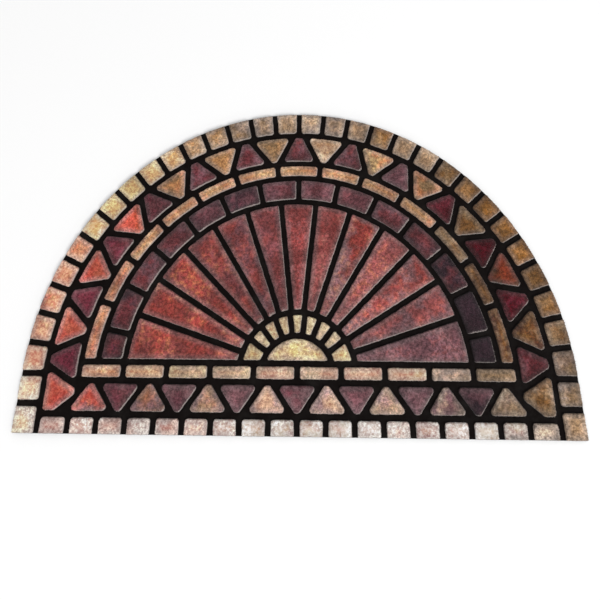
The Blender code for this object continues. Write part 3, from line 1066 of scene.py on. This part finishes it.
def rubber_material():
    """Dark rubber with a fine grain, uneven gloss and a little dust."""
    material, tree, shader = new_material("moulded_rubber")
    place = add(tree, "ShaderNodeTexCoord").outputs["Object"]
    colour = blended(tree, pattern(tree, place, *DUST_VEIL), opaque(RUBBER), opaque(DUST))
    values = {"Base Color": colour, "Roughness": pattern(tree, place, *RUBBER_ROUGHNESS)}
    values |= {"Specular IOR Level": RUBBER_SPECULAR, "Normal": relief(tree, place, RUBBER_RELIEF)}
    plug(tree, shader, values)
    return material


rubber = rubber_material()
print(f"{rubber.name}: {len(rubber.node_tree.nodes)} nodes")

# %% [markdown]
# ## The rubber base
#
# The base is made like a pad: the mat's half-round outline is a core grown by its corner radius, and
# a profile runs round it. The profile starts in the middle of the flat underside, goes out to the
# edge, up the wall and back over the floor of the grooves, which is a little uneven.

# %% Base
BASE_SHARES = np.linspace(0.06, 0.985, 22)
BASE_EDGE = (
    Row(0.0000, 0.0, 1.0),
    Row(CORE_INSET - 0.0004, 0.0, 1.0),
    Row(CORE_INSET, 0.0004, 1.0),
    Row(CORE_INSET, GROOVE_FLOOR - 0.0006, 1.0),
    Row(CORE_INSET - 0.0002, GROOVE_FLOOR - 0.0002, 1.0),
    Row(CORE_INSET - 0.0006, GROOVE_FLOOR, 1.0),
    Row(0.0000, GROOVE_FLOOR, 1.0),
)
FLOOR_WAVE = 0.00012
UNDERSIDE_BELOW = GROOVE_FLOOR / 4


def base_surface():
    """The slab as rings: middle + share * (core - middle) + out * normal, from underside to floor."""
    side, foot = RADIUS - MAT_CORNER, FRONT_EDGE + MAT_CORNER
    places = ((-side, foot), (side, foot), (side, RIM_LIFT), (-side, RIM_LIFT))
    corners = [np.array([place]) for place in places]
    core, normal = core_path(rounds_of(corners, MAT_CORNER, (STRAIGHT, STRAIGHT, RIM_ARC, STRAIGHT)))
    sole_rows = [Row(0.0, 0.0, share) for share in BASE_SHARES]
    floor_rows = [Row(0.0, GROOVE_FLOOR, share) for share in BASE_SHARES[::-1]]
    out, height, share = (np.array(column) for column in zip(*sole_rows, *BASE_EDGE, *floor_rows))
    middle = np.array((0.0, FRONT_EDGE + DEPTH / 2))
    flat = middle + share[:, None, None] * (core[0] - middle) + out[:, None, None] * normal[0]
    rise = np.broadcast_to(height[:, None], flat.shape[:-1]).copy()
    inside = (height == GROOVE_FLOOR) & (out == 0)
    rise[inside] += FLOOR_WAVE * ripple(flat[inside], WAVE_SEED + 2)
    rows, stations = rise.shape
    points = np.concatenate([flat, rise[..., None]], -1).reshape(-1, 3)
    points = np.concatenate([points, [(*middle, GROOVE_FLOOR), (*middle, 0.0)]])
    walls, crown, sole = grid_faces(1, rows, stations)
    dark = np.broadcast_to(linear(RUBBER), points.shape)
    zero = np.zeros(len(points))
    faces = np.concatenate([walls, crown, sole])
    under = points[faces].mean(1)[:, 2] < UNDERSIDE_BELOW
    return Surface(points, faces, points[:, :2], under, dark, dark, dark, zero, zero + 1.0, zero)


base = add_piece("rubber_base", base_surface(), rubber)

# %% [markdown]
# ## Building the courses
#
# Now every course is a line or two: its rounds, the run of dyes and the way a pad's place in that run
# is told. Triangles that point outwards, and all that point down on the straight side, are plum.

# %% All courses
VARIATION = 0.07
FIBRE_SEED = 500


def bearing_of(rounds):
    """Degrees clockwise from straight up, of the middle of each pad."""
    middle = rounds.centres.mean(1)
    return np.degrees(np.arctan2(middle[:, 0], middle[:, 1]))


def along_row(rounds):
    """Where each pad's middle is along the straight side, from -1 to 1."""
    return rounds.centres.mean(1)[:, 0] / ZIGZAG_EDGE


def add_course(name, *groups):
    """A course as two pieces: its shells, and its fibres. A group is (rounds, run, place function)."""
    draw = np.random.default_rng(len(pieces))
    parts = []
    for rounds, run, place_of in groups:
        lighter = 1.0 + VARIATION * draw.uniform(-1.0, 1.0, (len(rounds.centres), 1))
        parts.append(shells(rounds, [dye * lighter for dye in dyed(run, place_of(rounds))]))
    surface = joined(parts)
    add_piece(name, surface, felt)
    spikes, fibre = fibres(surface, FIBRE_SEED + len(pieces))
    add_piece(name + "_felt", spikes, felt, fibre)


def picked(rounds, chosen):
    """Part of a course's pads."""
    return Rounds(rounds.centres[chosen], rounds.radii[chosen], rounds.sides)


add_course("sun", (sun_rounds(), SUN_RUN, bearing_of))
add_course("sun_ring", (arch_rounds(SUN_RING), SUN_RING_RUN, bearing_of))
add_course("rays", (arch_rounds(RAYS), RAY_RUN, bearing_of))
add_course("plum_bricks", (arch_rounds(PLUM), PLUM_RUN, bearing_of))
add_course("gold_bricks", (arch_rounds(GOLD), GOLD_RUN, bearing_of))
add_course(
    "zigzag",
    (zigzag_rounds(numbers[numbers % 2 == 0]), DARK_TRIANGLE_RUN, bearing_of),
    (zigzag_rounds(numbers[numbers % 2 == 1]), TRIANGLE_RUN, bearing_of),
    (zigzag_end_rounds(), TRIANGLE_RUN, bearing_of),
)
add_course(
    "rim_tiles",
    (arch_rounds(RIM), RIM_RUN, bearing_of),
    (side_tile_rounds(), RIM_RUN, bearing_of),
)
brick_row = (GOLD_BASE + HALF_GROOVE, FAN_BASE - HALF_GROOVE, BRICK_CORNER, BRICK_CORNER)
bricks = row_rounds(GOLD_EDGE, FRONT_BRICK_PITCH, FRONT_BRICKS_A_SIDE, *brick_row)
add_course("front_bricks", (bricks, FRONT_BRICK_RUN, along_row))
triangles = front_triangle_rounds()
down = np.arange(len(triangles.centres)) % 2 == 1
add_course(
    "front_triangles",
    (picked(triangles, down), FRONT_PLUM_RUN, along_row),
    (picked(triangles, ~down), FRONT_TRIANGLE_RUN, along_row),
)
square_row = (*front_rows, EDGE_CORNER, TILE_CORNER)
squares = row_rounds(ZIGZAG_EDGE, FRONT_SQUARE_PITCH, FRONT_SQUARES_A_SIDE, *square_row)
add_course("front_squares", (squares, SQUARE_RUN, along_row))

# %% [markdown]
# ## What stands for what
#
# All of it is the one moulding, so every piece rides on the same body. The base stands for the CAD
# solid, which is hidden. The pads and their felt lie on it.

# %% Frame
for piece in pieces.values():
    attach(piece, "root")
    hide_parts("mat")

# %% [markdown]
# ## Floor, light and camera
#
# A white floor and a white sky give the even light of a product photograph. A wide lamp on the right
# and in front picks out the shoulders that face it. A lamp shines along its own -Z, so its Z is turned
# to point away from the mat. The camera stands over the mat and looks a little forwards, and its
# shift keeps the mat in the middle of the picture.

# %% Floor
FLOOR_SIZE = 12.0
PAPER = (0.97, 0.97, 0.97, 1.0)
PAPER_ROUGHNESS = 0.9
reach = FLOOR_SIZE / 2
floor_corners = [(-reach, -reach, 0), (reach, -reach, 0), (reach, reach, 0), (-reach, reach, 0)]
floor_mesh = bpy.data.meshes.new("floor")
floor_mesh.from_pydata(floor_corners, [], [(0, 1, 2, 3)])
floor = bpy.data.objects.new("floor", floor_mesh)
bpy.context.scene.collection.objects.link(floor)
paper, paper_tree, paper_shader = new_material("paper")
plug(paper_tree, paper_shader, {"Base Color": PAPER, "Roughness": PAPER_ROUGHNESS})
floor_mesh.materials.append(paper)
print(f"a floor of {FLOOR_SIZE:.0f} x {FLOOR_SIZE:.0f} m")

# %% Light
SKY = (1.0, 1.0, 1.0, 1.0)
SKY_STRENGTH = 0.70
KEY_PLACE = (2.9, -3.3, 4.6)
KEY_SIZE = 2.3
KEY_POWER = 206.0
world = bpy.data.worlds.new("studio")
world.use_nodes = True
plug(world.node_tree, world.node_tree.nodes["Background"], {"Color": SKY, "Strength": SKY_STRENGTH})
bpy.context.scene.world = world
bpy.context.scene.view_settings.view_transform = "Standard"
key_data = bpy.data.lights.new("key", "AREA")
key_data.size = KEY_SIZE
key_data.energy = KEY_POWER
key = bpy.data.objects.new("key", key_data)
key.location = KEY_PLACE
key.rotation_euler = key.location.to_track_quat("Z", "Y").to_euler()
bpy.context.scene.collection.objects.link(key)
print(f"the key lamp is {key.location.length:.1f} m from the mat")

# %% Camera
PICTURE_SIDE = 600
FOCAL_PIXELS = 420
SENSOR = 36.0
CAMERA_SHIFT = -0.25
NEAREST = 0.01
CAMERA_PLACE = (0.013, CENTRE_Y + 0.124, THICKNESS + 0.638)
CAMERA_TURN_DEG = (17.33, 0.89, 0.43)
camera_data = bpy.data.cameras.new("camera")
camera_data.sensor_width = SENSOR
camera_data.lens = FOCAL_PIXELS / PICTURE_SIDE * SENSOR
camera_data.shift_y = CAMERA_SHIFT
camera_data.clip_start = NEAREST
camera = bpy.data.objects.new("camera", camera_data)
camera.location = CAMERA_PLACE
camera.rotation_euler = [math.radians(angle) for angle in CAMERA_TURN_DEG]
bpy.context.scene.collection.objects.link(camera)
bpy.context.scene.camera = camera
print(f"camera {camera.location.z * 1000:.0f} mm above the floor, {camera_data.lens:.0f} mm lens")
